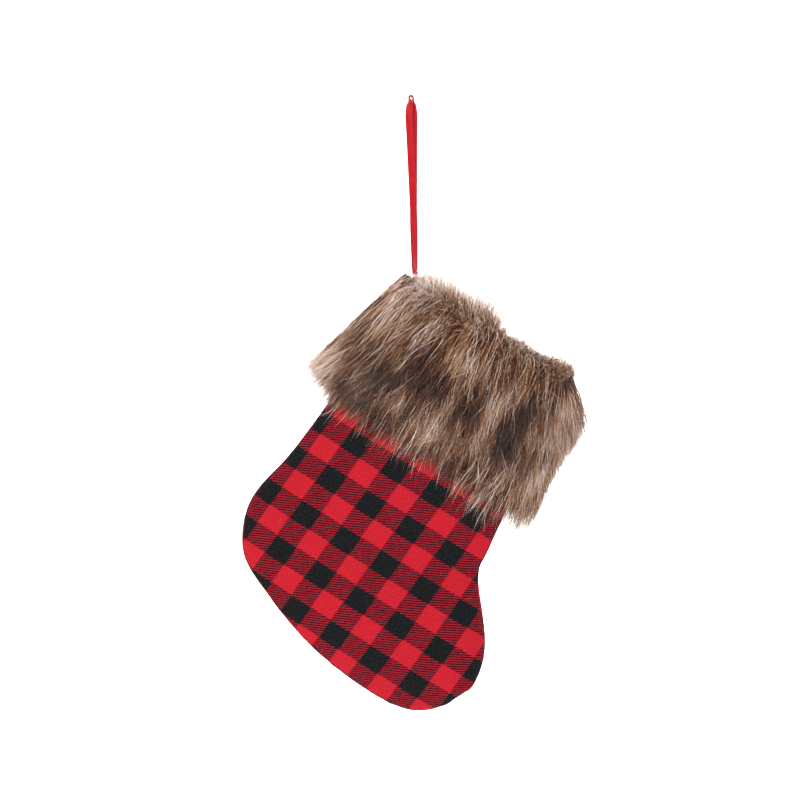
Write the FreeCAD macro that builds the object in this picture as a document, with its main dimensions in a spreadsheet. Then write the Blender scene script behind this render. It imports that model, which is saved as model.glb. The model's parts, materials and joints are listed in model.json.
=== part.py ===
import FreeCAD, Part

import math
import os

import Sketcher
from FreeCAD import Placement, Rotation, Vector

# A small Christmas stocking that hangs from a ribbon loop. Millimetres, +Z up, front face towards -Y.
# The origin is the centre of the hook's bar, where the ribbon loop sits on it.
# The stocking is drawn upright in a frame of its own: "across" runs from the heel side to the instep side
# (+X), "down" runs from the mouth to the sole (-Z). Every sewn piece then gets the same Placement, which
# hangs it below the ribbon's knot at its natural tilt. The point that it swings about is that frame's origin.

doc = FreeCAD.newDocument("hanging_stocking")

# ---------------------------------------------------------------- driving dimensions

SIZES = {
    # ribbon loop
    "ribbon_width": 3.0,
    "ribbon_thick": 0.25,
    "hook_radius": 1.0,
    "loop_drop": 72.35,
    "loop_lean": 1.6,
    "hang_tilt": 32.0,
    # knot and ends of the ribbon, measured from the point that the stocking swings about
    "knot_middle": 2.5,
    "knot_half_wide": 1.2,
    "knot_half_deep": 1.4,
    "knot_half_tall": 1.35,
    "knot_wrap_radius": 1.1,
    "knot_wrap_thick": 0.35,
    "knot_wrap_tilt": 25.0,
    "neck_low": 0.35,
    "neck_tall": 0.65,
    "neck_wide": 0.9,
    "neck_deep": 2.4,
    "neck_round": 0.2,
    "tail_across": 1.7,
    "tail_down": 1.5,
    "tail_long": 11.0,
    # stitches that hold the ribbon's ends
    "tack_across": 2.42,
    "tack_spacing": 2.0,
    "tack_long": 2.2,
    # layers of the sewn walls
    "shell_thick": 1.2,
    "lining_thick": 0.5,
    "backing_thick": 0.6,
    "layer_gap": 0.1,
    "seam_gap": 0.15,
    "mouth_down": 1.2,
    "lining_down": 1.5,
    "backing_end_down": 57.0,
    # sewing threads: their clearance, and how far inside the outline each seam runs
    "thread_radius": 0.12,
    "thread_clear": 0.03,
    "shell_seam_inset": 1.5,
    "lining_seam_inset": 4.2,
    "toe_pull": 0.8,
    "side_thread_outset": 0.8,
    "side_thread_end": 1.0,
    # how far a cutting solid runs past the edge that it cuts
    "overrun": 3.0,
    "half_space": 200.0,
}

# Cross-sections of the stocking from mouth to toe. Each runs between the heel-side and the instep-side seam:
# heel side across and down, instep side across and down, and half of the section's depth at its middle.
STATIONS = {
    "mouth": (-3.5, 1.2, 72.8, 1.2, 9.0),
    "calf_upper": (-3.5, 16.0, 74.4, 16.0, 9.0),
    "calf": (-3.4, 31.0, 76.4, 31.0, 9.0),
    "calf_lower": (-3.3, 46.0, 78.4, 46.0, 8.9),
    "hem": (-3.4, 61.0, 80.4, 61.0, 8.8),
    "ankle_upper": (-4.4, 74.0, 81.8, 71.5, 8.7),
    "ankle": (-6.3, 90.0, 82.8, 79.0, 8.6),
    "counter": (-9.2, 110.0, 83.2, 83.8, 8.4),
    "heel": (-6.2, 120.5, 83.9, 85.8, 8.3),
    "heel_corner": (0.4, 130.0, 85.0, 88.0, 8.2),
    "heel_base": (11.0, 135.8, 86.6, 90.4, 8.2),
    "arch_start": (24.0, 141.0, 88.6, 93.0, 8.1),
    "arch": (38.0, 145.4, 91.2, 96.0, 8.0),
    "arch_end": (52.0, 148.2, 94.2, 99.6, 7.7),
    "ball": (66.0, 149.4, 97.6, 103.8, 7.0),
    "toe_root": (79.0, 149.4, 101.0, 108.6, 6.0),
    "toe_swell": (89.0, 147.4, 103.8, 114.2, 4.8),
    "toe": (96.2, 143.0, 105.5, 120.4, 3.5),
    "toe_end": (101.2, 136.8, 106.0, 126.6, 2.2),
}
STATION_SIZES = ("heel_across", "heel_down", "step_across", "step_down", "half_deep")

# Outline of the fur's pile from the mouth to the cuff's lower edge, in the same order of sizes.
PILE_STATIONS = {
    "fur_top": (-5.0, 1.4, 72.9, 1.4, 11.0),
    "fur_shoulder": (-7.0, 8.0, 79.5, 8.0, 13.0),
    "fur_upper": (-10.5, 22.0, 86.0, 22.0, 15.0),
    "fur_middle": (-14.5, 38.0, 87.0, 38.0, 16.0),
    "fur_lower": (-15.5, 49.0, 86.5, 49.0, 15.5),
    "fur_hem": (-9.5, 59.0, 84.0, 59.0, 12.5),
}

# The two runs of the ribbon from below the hook down to the knot: depth below the hook's middle, turn of the
# pair about the vertical, half of the space between the runs' middles, and how far each slips sideways past
# the other.
RUN_LEVELS = (
    (1.6, 0.0, 1.1, 0.0),
    (3.2, 40.0, 0.95, 0.3),
    (4.8, 72.0, 0.75, 0.7),
    (7.0, 88.0, 0.6, 0.95),
    (26.0, 92.0, 0.45, 0.45),
    (43.0, 100.0, 0.4, 0.1),
    (52.0, 122.0, 0.36, 0.0),
    (60.0, 146.0, 0.32, 0.0),
    (68.3, 170.0, 0.3, 0.0),
)
RUN_SIZES = ("drop", "turn", "half_space", "slip")

sheet = doc.addObject("Spreadsheet::Sheet", "Sizes")
cells = dict(SIZES)
for station, numbers in {**STATIONS, **PILE_STATIONS}.items():
    for word, number in zip(STATION_SIZES, numbers):
        cells[f"{station}_{word}"] = number
for level, numbers in enumerate(RUN_LEVELS):
    for word, number in zip(RUN_SIZES, numbers):
        cells[f"run_{level}_{word}"] = number
for row, (alias, number) in enumerate(cells.items(), start=1):
    sheet.set(f"A{row}", alias)
    sheet.set(f"B{row}", str(number))
    sheet.setAlias(f"B{row}", alias)
doc.recompute()

ABOUT_DEPTH = Vector(0, 1, 0)
DOWN = Vector(0, 0, -1)


def size(alias):
    """The number that the sheet holds under this alias."""
    return float(getattr(sheet, alias))


def bind(thing, **expressions):
    """Binds properties to expressions. A double underscore in a name stands for a dot."""
    for name, expression in expressions.items():
        thing.setExpression(name.replace("__", "."), expression)


def hang(piece):
    """Hangs a piece that was drawn upright: its Placement follows the loop's length and the tilt."""
    piece.Placement = Placement(Vector(size("loop_lean"), 0, -size("loop_drop")),
                                Rotation(ABOUT_DEPTH, size("hang_tilt")))
    bind(piece, Placement__Base__x="Sizes.loop_lean", Placement__Base__z="-Sizes.loop_drop",
         Placement__Rotation__Angle="Sizes.hang_tilt")
    return piece


# ---------------------------------------------------------------- solids of lens-shaped sections

def lens_section(name, station, offset, pull):
    """Two equal arcs that meet at the two side seams. offset moves both arcs outwards by one distance all
    round; pull moves the section back along the stocking, square to its own plane."""
    across = f"(Sizes.{station}_step_across - Sizes.{station}_heel_across)"
    down = f"(Sizes.{station}_step_down - Sizes.{station}_heel_down)"
    middle_across = f"(Sizes.{station}_step_across + Sizes.{station}_heel_across) / 2"
    middle_down = f"(Sizes.{station}_step_down + Sizes.{station}_heel_down) / 2"
    turn = f"atan2({down}; {across})"
    half_wide = f"(hypot({across}; {down}) / 2)"
    deep = f"Sizes.{station}_half_deep"
    radius = f"(({half_wide} * {half_wide} + {deep} * {deep}) / (2 * {deep}))"

    wide_now = math.hypot(size(f"{station}_step_across") - size(f"{station}_heel_across"),
                          size(f"{station}_step_down") - size(f"{station}_heel_down")) / 2
    deep_now = size(f"{station}_half_deep")
    radius_now = (wide_now ** 2 + deep_now ** 2) / (2 * deep_now)
    centre_now = radius_now - deep_now
    reach = math.asin(wide_now / radius_now)

    sketch = doc.addObject("Sketcher::SketchObject", name)
    for side in (1, -1):
        circle = Part.Circle(Vector(0, -side * centre_now, 0), Vector(0, 0, 1), radius_now)
        top = side * math.pi / 2
        sketch.addGeometry(Part.ArcOfCircle(circle, top - reach, top + reach), False)
    sketch.addConstraint([
        Sketcher.Constraint("PointOnObject", 0, 3, -2),
        Sketcher.Constraint("PointOnObject", 0, 1, -1),
        Sketcher.Constraint("PointOnObject", 0, 2, -1),
        Sketcher.Constraint("Coincident", 0, 1, 1, 2),
        Sketcher.Constraint("Coincident", 0, 2, 1, 1),
        Sketcher.Constraint("Equal", 0, 1),
    ])
    centre = sketch.addConstraint(Sketcher.Constraint("DistanceY", 0, 3, -1, 1, centre_now))
    curve = sketch.addConstraint(Sketcher.Constraint("Radius", 0, radius_now))
    sketch.setExpression(f"Constraints[{centre}]", f"{radius} - {deep}")
    sketch.setExpression(f"Constraints[{curve}]", f"{radius} + {offset}")
    sketch.Placement = Placement(Vector(0, 0, 0), Rotation(ABOUT_DEPTH, 1))
    bind(sketch, Placement__Base__x=f"{middle_across} + ({pull}) * sin({turn})",
         Placement__Base__z=f"-{middle_down} + ({pull}) * cos({turn})", Placement__Rotation__Angle=turn)
    return sketch


def lens_solid(name, stations, offset="0", first_pull="0", last_pull="0"):
    """A smooth closed solid through the lens sections of these stations."""
    pulls = ["0"] * len(stations)
    pulls[0] = first_pull
    pulls[-1] = last_pull
    solid = doc.addObject("Part::Loft", name)
    solid.Sections = [lens_section(f"{name}_{station}", station, offset, pull)
                      for station, pull in zip(stations, pulls)]
    solid.Solid = True
    solid.Ruled = False
    return solid


def front_block(name, start_down, end_down):
    """A block that holds everything in front of the side seams, between two depths below the swing point."""
    block = doc.addObject("Part::Box", name)
    block.Placement = Placement(Vector(0, 0, 0), Rotation())
    bind(block, Length="2 * Sizes.half_space", Width="Sizes.half_space",
         Height=f"({end_down}) - ({start_down})",
         Placement__Base__x="-Sizes.half_space", Placement__Base__y="-Sizes.half_space - Sizes.seam_gap",
         Placement__Base__z=f"-({end_down})")
    return block


def front_layer(label, outside, inside, block):
    """The front half of the wall between two lens solids."""
    half = doc.addObject("Part::Common", f"{label}_half")
    half.Base = outside
    half.Tool = block
    wall = doc.addObject("Part::Cut", label)
    wall.Base = half
    wall.Tool = inside
    return hang(wall)


def back_layer(label, front):
    """The back half of a wall, which mirrors the front half across the plane of the side seams."""
    wall = doc.addObject("Part::Mirroring", label)
    wall.Source = front
    wall.Normal = ABOUT_DEPTH
    return wall


whole = list(STATIONS)
shell_block = front_block("ShellHalf", "Sizes.mouth_down", "Sizes.half_space")
lining_block = front_block("LiningHalf", "Sizes.lining_down", "Sizes.half_space")
cuff_block = front_block("CuffHalf", "Sizes.mouth_down", "Sizes.backing_end_down")
pile_block = front_block("PileHalf", "0", "Sizes.half_space")


def wall_solid(name, depth):
    """The stocking shrunk by a depth below the shell's face. Its toe draws back by as much."""
    return lens_solid(name, whole, f"-({depth})", "Sizes.overrun", depth)


def cuff_solid(name, height):
    """The stocking grown by a height above the shell's face."""
    return lens_solid(name, whole, height, "Sizes.overrun")


shell_outside = lens_solid("ShellOutside", whole, "0", "Sizes.overrun")
shell_inside = wall_solid("ShellInside", "Sizes.shell_thick")
lining_outside = wall_solid("LiningOutside", "Sizes.shell_thick + Sizes.layer_gap")
lining_inside = wall_solid("LiningInside", "Sizes.shell_thick + Sizes.layer_gap + Sizes.lining_thick")
backing_inside = cuff_solid("BackingInside", "Sizes.layer_gap")
backing_outside = cuff_solid("BackingOutside", "(Sizes.layer_gap + Sizes.backing_thick)")
pile_inside = cuff_solid("PileInside", "(2 * Sizes.layer_gap + Sizes.backing_thick)")
pile_outside = lens_solid("PileOutside", list(PILE_STATIONS))

front_shell = front_layer("front_shell", shell_outside, shell_inside, shell_block)
front_lining = front_layer("front_lining", lining_outside, lining_inside, lining_block)
cuff_backing_front = front_layer("cuff_backing_front", backing_outside, backing_inside, cuff_block)
cuff_pile_front = front_layer("cuff_pile_front", pile_outside, pile_inside, pile_block)

# ---------------------------------------------------------------- sewing threads

def seam_point(station, side, inset):
    """A point on the seam plane, inset from one end of a station's section towards the other."""
    heel = Vector(size(f"{station}_heel_across"), 0, -size(f"{station}_heel_down"))
    step = Vector(size(f"{station}_step_across"), 0, -size(f"{station}_step_down"))
    inwards = (step - heel).normalize()
    return heel + inwards * inset if side == "heel" else step - inwards * inset


def rope(edge):
    """A round thread along an edge."""
    start = edge.valueAt(edge.FirstParameter)
    along = edge.tangentAt(edge.FirstParameter)
    ring = Part.Wire(Part.makeCircle(size("thread_radius"), start, along))
    return Part.Wire(edge).makePipeShell([ring], True, False)


def smooth_edge(points):
    """One smooth curve through these points."""
    curve = Part.BSplineCurve()
    curve.interpolate(points)
    return curve.toShape()


def thread(label, ropes):
    """A hung piece made of one or more ropes."""
    piece = doc.addObject("Part::Feature", label)
    piece.Shape = ropes[0] if len(ropes) == 1 else Part.makeCompound(ropes)
    return hang(piece)


def round_seam(stations, inset, edge_down):
    """The seam's line from the mouth down the heel side, around the toe and up the instep side."""
    start_down = DOWN * (edge_down - size("mouth_down") + size("thread_radius") + size("layer_gap"))
    heel_side = [seam_point(station, "heel", inset) for station in stations]
    step_side = [seam_point(station, "step", inset) for station in reversed(stations)]
    heel_side[0] += start_down
    step_side[-1] += start_down
    tip = (heel_side[-1] + step_side[0]) / 2
    back = (tip - (seam_point("ball", "heel", 0) + seam_point("ball", "step", 0)) / 2).normalize()
    return smooth_edge(heel_side + [tip - back * size("toe_pull")] + step_side)


shell_seam = round_seam(whole, size("shell_seam_inset"), size("mouth_down"))
lining_seam = round_seam(whole[:-1], size("lining_seam_inset"), size("lining_down"))
shell_seam_thread = thread("shell_seam_thread", [rope(shell_seam)])
lining_seam_thread = thread("lining_seam_thread", [rope(lining_seam)])


def cuff_side_rope(side):
    """The straight thread that joins the cuff's front and back backing along one side of the leg."""
    mouth, above, below = [seam_point(station, side, -size("side_thread_outset"))
                           for station in ("mouth", "calf_lower", "hem")]
    end_down = size("backing_end_down") - size("side_thread_end")
    share = (end_down + above.z) / (above.z - below.z)
    top = mouth + DOWN * size("side_thread_end")
    bottom = above + (below - above) * share
    return rope(Part.LineSegment(top, bottom).toShape())


cuff_side_threads = thread("cuff_side_threads", [cuff_side_rope("heel"), cuff_side_rope("step")])


def mouth_rope(side):
    """The overlock thread along the raw top edge of one wall of the mouth."""
    height = DOWN * -(size("thread_radius") + size("thread_clear"))
    apart = side * (size("seam_gap") + 2 * size("thread_radius"))
    heel = seam_point("mouth", "heel", size("shell_thick")) + height + Vector(0, apart, 0)
    step = seam_point("mouth", "step", size("shell_thick")) + height + Vector(0, apart, 0)
    middle = (heel + step) / 2
    middle.y = side * (size("mouth_half_deep") - size("shell_thick") / 2)
    return rope(Part.Arc(heel, middle, step).toShape())


mouth_threads = thread("mouth_threads", [mouth_rope(-1), mouth_rope(1)])

# ---------------------------------------------------------------- ribbon

def run_section(name, side, drop, turn, space, slip):
    """A section of one run of the ribbon: side -1 is the run on the heel side of the hook, +1 the other one.
    The section's place is given as expressions."""
    sketch = doc.addObject("Sketcher::SketchObject", name)
    half_thick = size("ribbon_thick") / 2
    half_wide = size("ribbon_width") / 2
    corners = [Vector(x * half_thick, y * half_wide, 0) for x, y in ((-1, -1), (1, -1), (1, 1), (-1, 1))]
    for start, end in zip(corners, corners[1:] + corners[:1]):
        sketch.addGeometry(Part.LineSegment(start, end), False)
    joined = [Sketcher.Constraint("Coincident", edge, 2, (edge + 1) % 4, 1) for edge in range(4)]
    squared = [Sketcher.Constraint(way, edge) for edge, way in enumerate(("Horizontal", "Vertical") * 2)]
    sketch.addConstraint(joined + squared)
    sketch.addConstraint(Sketcher.Constraint("Symmetric", 0, 1, 1, 2, -1, 1))
    thick = sketch.addConstraint(Sketcher.Constraint("DistanceX", 0, 1, 0, 2, 2 * half_thick))
    wide = sketch.addConstraint(Sketcher.Constraint("DistanceY", 1, 1, 1, 2, 2 * half_wide))
    sketch.setExpression(f"Constraints[{thick}]", "Sizes.ribbon_thick")
    sketch.setExpression(f"Constraints[{wide}]", "Sizes.ribbon_width")
    sketch.Placement = Placement(Vector(0, 0, 0), Rotation(Vector(0, 0, 1), 1))
    bind(sketch,
         Placement__Base__x=f"{side} * ({space} * cos({turn}) + {slip} * sin({turn}))"
                            f" + Sizes.loop_lean * {drop} / Sizes.loop_drop",
         Placement__Base__y=f"{side} * ({space} * sin({turn}) - {slip} * cos({turn}))",
         Placement__Base__z=f"-{drop}", Placement__Rotation__Angle=turn)
    return sketch


def ribbon_run(name, side):
    """One run of the ribbon from the arch's end down to the knot. It turns about the vertical on its way."""
    arch_space = "(Sizes.hook_radius + Sizes.ribbon_thick / 2)"
    sections = [run_section(f"{name}_arch", side, "0", "0 deg", arch_space, "0")]
    for level in range(len(RUN_LEVELS)):
        place = [f"Sizes.run_{level}_{word}" for word in RUN_SIZES]
        sections.append(run_section(f"{name}_{level}", side, *place))
    run = doc.addObject("Part::Loft", name)
    run.Sections = sections
    run.Solid = True
    run.Ruled = True
    return run


def body_with_sketch(label, plane_role):
    """A body and an empty sketch on one of its own origin planes."""
    body = doc.addObject("PartDesign::Body", label)
    plane = next(plane for plane in body.Origin.OriginFeatures if plane.Role == plane_role)
    sketch = body.newObject("Sketcher::SketchObject", f"{label}_sketch")
    sketch.AttachmentSupport = [(plane, "")]
    sketch.MapMode = "FlatFace"
    return body, sketch


def ribbon_arch():
    """The half turn of the ribbon over the hook."""
    body, sketch = body_with_sketch("ribbon_arch", "XZ_Plane")
    inner = size("hook_radius")
    outer = inner + size("ribbon_thick")
    up = Vector(0, 0, 1)
    sketch.addGeometry(Part.ArcOfCircle(Part.Circle(Vector(0, 0, 0), up, inner), 0, math.pi), False)
    sketch.addGeometry(Part.ArcOfCircle(Part.Circle(Vector(0, 0, 0), up, outer), 0, math.pi), False)
    sketch.addGeometry(Part.LineSegment(Vector(inner, 0, 0), Vector(outer, 0, 0)), False)
    sketch.addGeometry(Part.LineSegment(Vector(-outer, 0, 0), Vector(-inner, 0, 0)), False)
    sketch.addConstraint([
        Sketcher.Constraint("Coincident", 0, 3, -1, 1),
        Sketcher.Constraint("Coincident", 1, 3, -1, 1),
        Sketcher.Constraint("Coincident", 2, 1, 0, 1),
        Sketcher.Constraint("Coincident", 2, 2, 1, 1),
        Sketcher.Constraint("Coincident", 3, 1, 1, 2),
        Sketcher.Constraint("Coincident", 3, 2, 0, 2),
        Sketcher.Constraint("PointOnObject", 0, 1, -1),
        Sketcher.Constraint("PointOnObject", 1, 1, -1),
        Sketcher.Constraint("PointOnObject", 0, 2, -1),
        Sketcher.Constraint("PointOnObject", 1, 2, -1),
    ])
    inside = sketch.addConstraint(Sketcher.Constraint("Radius", 0, inner))
    outside = sketch.addConstraint(Sketcher.Constraint("Radius", 1, outer))
    sketch.setExpression(f"Constraints[{inside}]", "Sizes.hook_radius")
    sketch.setExpression(f"Constraints[{outside}]", "Sizes.hook_radius + Sizes.ribbon_thick")
    pad = body.newObject("PartDesign::Pad", "ribbon_arch_pad")
    pad.Profile = sketch
    pad.Midplane = True
    pad.setExpression("Length", "Sizes.ribbon_width")
    return body


hanging_ribbon = doc.addObject("Part::MultiFuse", "hanging_ribbon")
hanging_ribbon.Shapes = [ribbon_arch(), ribbon_run("RunHeelSide", -1), ribbon_run("RunStepSide", 1)]


def knot():
    """The small tight knot that draws the two runs together: a ball with one turn of ribbon around it."""
    ball = doc.addObject("Part::Ellipsoid", "knot_ball")
    bind(ball, Radius1="Sizes.knot_half_tall", Radius2="Sizes.knot_half_wide", Radius3="Sizes.knot_half_deep")
    wrap = doc.addObject("Part::Torus", "knot_wrap")
    wrap.Placement = Placement(Vector(0, 0, 0), Rotation(ABOUT_DEPTH, size("knot_wrap_tilt")))
    bind(wrap, Radius1="Sizes.knot_wrap_radius", Radius2="Sizes.knot_wrap_thick",
         Placement__Rotation__Angle="Sizes.knot_wrap_tilt")
    both = doc.addObject("Part::Fuse", "ribbon_knot")
    both.Base = ball
    both.Tool = wrap
    both.Placement = Placement(Vector(0, 0, 0), Rotation())
    bind(both, Placement__Base__x="Sizes.loop_lean",
         Placement__Base__z="-Sizes.loop_drop + Sizes.knot_middle")
    return both


ribbon_knot = knot()


def block_body(label, plane_role, wide, tall, deep):
    """A body that is one rectangle padded evenly to both sides of its plane, with its corner at the origin
    of the plane's first axis. The sizes are expressions."""
    body, sketch = body_with_sketch(label, plane_role)
    corners = [Vector(0, 0, 0), Vector(1, 0, 0), Vector(1, 1, 0), Vector(0, 1, 0)]
    for start, end in zip(corners, corners[1:] + corners[:1]):
        sketch.addGeometry(Part.LineSegment(start, end), False)
    joined = [Sketcher.Constraint("Coincident", edge, 2, (edge + 1) % 4, 1) for edge in range(4)]
    squared = [Sketcher.Constraint(way, edge) for edge, way in enumerate(("Horizontal", "Vertical") * 2)]
    sketch.addConstraint(joined + squared)
    sketch.addConstraint(Sketcher.Constraint("Coincident", 0, 1, -1, 1))
    first = sketch.addConstraint(Sketcher.Constraint("DistanceX", 0, 1, 0, 2, 1))
    second = sketch.addConstraint(Sketcher.Constraint("DistanceY", 1, 1, 1, 2, 1))
    sketch.setExpression(f"Constraints[{first}]", wide)
    sketch.setExpression(f"Constraints[{second}]", tall)
    pad = body.newObject("PartDesign::Pad", f"{label}_pad")
    pad.Profile = sketch
    pad.Midplane = True
    pad.setExpression("Length", deep)
    return body, pad


def neck():
    """The doubled ribbon between the knot and the mouth's corner, where it bends."""
    body, pad = block_body("ribbon_neck", "XZ_Plane", "Sizes.neck_wide", "Sizes.neck_tall", "Sizes.neck_deep")
    doc.recompute()
    rounding = body.newObject("PartDesign::Fillet", "ribbon_neck_rounding")
    rounding.Base = (pad, [f"Edge{number}" for number in range(1, len(pad.Shape.Edges) + 1)])
    rounding.setExpression("Radius", "Sizes.neck_round")
    body.Placement = Placement(Vector(0, 0, 0), Rotation())
    bind(body, Placement__Base__x="Sizes.loop_lean - Sizes.neck_wide / 2",
         Placement__Base__z="-Sizes.loop_drop + Sizes.neck_low")
    return body


ribbon_neck = neck()


def tails():
    """The two ribbon ends, one on the other, sewn in between the linings at the mouth's heel-side corner."""
    body, _ = block_body("tail_body", "XZ_Plane", "Sizes.ribbon_width", "Sizes.tail_long",
                         "2 * Sizes.ribbon_thick")
    body.Placement = Placement(Vector(0, 0, 0), Rotation())
    bind(body, Placement__Base__x="Sizes.tail_across",
         Placement__Base__z="-Sizes.tail_down - Sizes.tail_long")
    placed = doc.addObject("Part::Compound", "ribbon_tails")
    placed.Links = [body]
    return hang(placed)


ribbon_tails = tails()


def tack_stitch(name, row, side):
    """One stitch of the tack, lying on a face of the ribbon's ends."""
    stitch = doc.addObject("Part::Cylinder", name)
    stitch.Placement = Placement(Vector(0, 0, 0), Rotation(ABOUT_DEPTH, 90))
    bind(stitch, Radius="Sizes.thread_radius", Height="Sizes.tack_long",
         Placement__Base__x="Sizes.tack_across",
         Placement__Base__y=f"{side} * (Sizes.ribbon_thick + Sizes.thread_radius + Sizes.thread_clear)",
         Placement__Base__z=f"-Sizes.tail_down - {row} * Sizes.tack_spacing")
    return stitch


TACK_ROWS = 4
tack = doc.addObject("Part::Compound", "ribbon_tack_thread")
tack.Links = [tack_stitch(f"stitch_{row}_{word}", row, side)
              for row in range(1, TACK_ROWS + 1) for word, side in (("front", -1), ("back", 1))]
hang(tack)

# ---------------------------------------------------------------- checks and files

subparts = {
    "front_shell": front_shell,
    "back_shell": back_layer("back_shell", front_shell),
    "front_lining": front_lining,
    "back_lining": back_layer("back_lining", front_lining),
    "cuff_backing_front": cuff_backing_front,
    "cuff_backing_back": back_layer("cuff_backing_back", cuff_backing_front),
    "cuff_pile_front": cuff_pile_front,
    "cuff_pile_back": back_layer("cuff_pile_back", cuff_pile_front),
    "shell_seam_thread": shell_seam_thread,
    "lining_seam_thread": lining_seam_thread,
    "cuff_side_threads": cuff_side_threads,
    "mouth_threads": mouth_threads,
    "hanging_ribbon": hanging_ribbon,
    "ribbon_knot": ribbon_knot,
    "ribbon_neck": ribbon_neck,
    "ribbon_tails": ribbon_tails,
    "ribbon_tack_thread": tack,
}
for label, piece in subparts.items():
    piece.Label = label
doc.recompute()

for thing in doc.Objects:
    if "Invalid" in thing.State or "Error" in thing.State:
        raise RuntimeError(f"{thing.Name} did not recompute: {thing.State}")
for label, piece in subparts.items():
    if piece.Shape.isNull() or not piece.Shape.isValid() or not piece.Shape.Solids:
        raise RuntimeError(f"{label} has no valid solid")

os.makedirs("parts", exist_ok=True)
for label, piece in subparts.items():
    piece.Shape.exportStep(f"parts/{label}.step")
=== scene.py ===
import json
import math

import bpy
import numpy as np
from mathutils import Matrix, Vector, noise
from mathutils.bvhtree import BVHTree
from mathutils.kdtree import KDTree


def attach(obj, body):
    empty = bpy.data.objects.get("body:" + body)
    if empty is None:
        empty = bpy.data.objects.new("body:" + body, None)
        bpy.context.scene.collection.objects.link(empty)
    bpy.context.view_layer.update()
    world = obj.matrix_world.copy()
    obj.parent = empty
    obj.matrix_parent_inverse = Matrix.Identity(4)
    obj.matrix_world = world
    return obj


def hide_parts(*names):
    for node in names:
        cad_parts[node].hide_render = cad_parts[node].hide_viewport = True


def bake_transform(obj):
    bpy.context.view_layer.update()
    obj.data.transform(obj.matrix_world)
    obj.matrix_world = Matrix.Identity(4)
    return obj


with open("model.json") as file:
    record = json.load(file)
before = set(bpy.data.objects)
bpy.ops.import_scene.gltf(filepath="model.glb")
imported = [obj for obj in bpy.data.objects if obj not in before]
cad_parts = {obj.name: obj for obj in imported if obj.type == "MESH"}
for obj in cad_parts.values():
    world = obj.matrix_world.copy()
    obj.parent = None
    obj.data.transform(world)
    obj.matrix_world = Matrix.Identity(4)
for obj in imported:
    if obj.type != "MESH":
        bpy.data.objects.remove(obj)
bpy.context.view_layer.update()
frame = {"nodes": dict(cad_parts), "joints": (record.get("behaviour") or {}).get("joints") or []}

# Looks of the hanging stocking. Lengths are millimetres unless a name ends in _M; materials, lights and the
# camera use metres. The sewn parts are drawn upright in a frame of their own, as in the CAD source: "across"
# runs from the heel side to the instep side, "down" from the mouth to the sole, and "back" into the picture.
# Its origin is the point that the stocking swings about.

MM = 0.001
TILT = math.radians(32)
ACROSS = np.array([math.cos(TILT), 0, -math.sin(TILT)])
DOWN = np.array([-math.sin(TILT), 0, -math.cos(TILT)])
BACK = np.array([0.0, 1.0, 0.0])
joints = {joint["name"]: joint for joint in frame["joints"]}
SWING_M = np.array(joints["stocking_swing"]["pos_m"])


def placed(points):
    """Points of the upright frame as metres of the row frame."""
    points = np.asarray(points, float)
    turned = points[..., 0:1] * ACROSS + points[..., 1:2] * DOWN + points[..., 2:3] * BACK
    return SWING_M + MM * turned


def smooth(low, high, value):
    """0 below low, 1 above high and an even curve between."""
    share = np.clip((np.asarray(value, float) - low) / (high - low), 0, 1)
    return share * share * (3 - 2 * share)


def wander(a, b=0.0, c=0.0):
    """Smooth noise between about -1 and 1."""
    return noise.noise(Vector((a, b, c)))


# ---- materials

def linear(*channels):
    """A display colour of 0 to 255 a channel as the linear colour that a shader takes, by the sRGB curve."""
    shares = [channel / 255 for channel in channels]
    return *(share / 12.92 if share <= 0.04045 else ((share + 0.055) / 1.055) ** 2.4 for share in shares), 1.0


class Shader:
    """A material with one Principled shader, and short names for the nodes that feed it."""

    def __init__(self, name, roughness):
        self.material = bpy.data.materials.new(name)
        self.material.use_nodes = True
        self.tree = self.material.node_tree
        self.surface = self.tree.nodes["Principled BSDF"]
        self.surface.inputs["Roughness"].default_value = roughness

    def node(self, kind, values=None, **settings):
        made = self.tree.nodes.new(kind)
        for key, value in settings.items():
            setattr(made, key, value)
        for key, value in (values or {}).items():
            self.feed(made.inputs[key], value)
        return made

    def feed(self, socket, value):
        if isinstance(value, bpy.types.NodeSocket):
            self.tree.links.new(value, socket)
        else:
            socket.default_value = value

    def math(self, operation, first, second=0.0):
        return self.node("ShaderNodeMath", {0: first, 1: second}, operation=operation).outputs[0]

    def plus(self, first, second):
        return self.math("ADD", first, second)

    def times(self, first, second):
        return self.math("MULTIPLY", first, second)

    def step(self, value, low, high):
        """0 where value is under low, 1 over high."""
        made = self.node("ShaderNodeMapRange", {"Value": value, "From Min": low, "From Max": high},
                         interpolation_type="SMOOTHSTEP")
        return made.outputs["Result"]

    def mix(self, share, first, second):
        made = self.node("ShaderNodeMix", data_type="RGBA")
        self.feed(made.inputs[0], share)
        self.feed(made.inputs[6], first)
        self.feed(made.inputs[7], second)
        return made.outputs[2]

    def ramp(self, value, stops):
        made = self.node("ShaderNodeValToRGB", {0: value})
        elements = made.color_ramp.elements
        while len(elements) < len(stops):
            elements.new(1.0)
        for element, (place, colour) in zip(elements, stops):
            element.position = place
            element.color = colour
        return made.outputs[0]

    def noise(self, place, scale, detail=2.0):
        made = self.node("ShaderNodeTexNoise", {"Vector": place, "Scale": scale, "Detail": detail})
        return made.outputs["Fac"]

    def object_place(self):
        return self.node("ShaderNodeTexCoord").outputs["Object"]

    def uv(self, layer):
        made = self.node("ShaderNodeUVMap", uv_map=layer)
        parts = self.node("ShaderNodeSeparateXYZ", {0: made.outputs[0]})
        return made.outputs[0], parts.outputs[0], parts.outputs[1]

    def colour(self, value):
        self.feed(self.surface.inputs["Base Color"], value)

    def shine(self, level):
        self.surface.inputs["Specular IOR Level"].default_value = level

    def bump(self, height, distance, strength=1.0):
        made = self.node("ShaderNodeBump", {"Height": height, "Distance": distance, "Strength": strength})
        self.feed(self.surface.inputs["Normal"], made.outputs[0])


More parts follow.
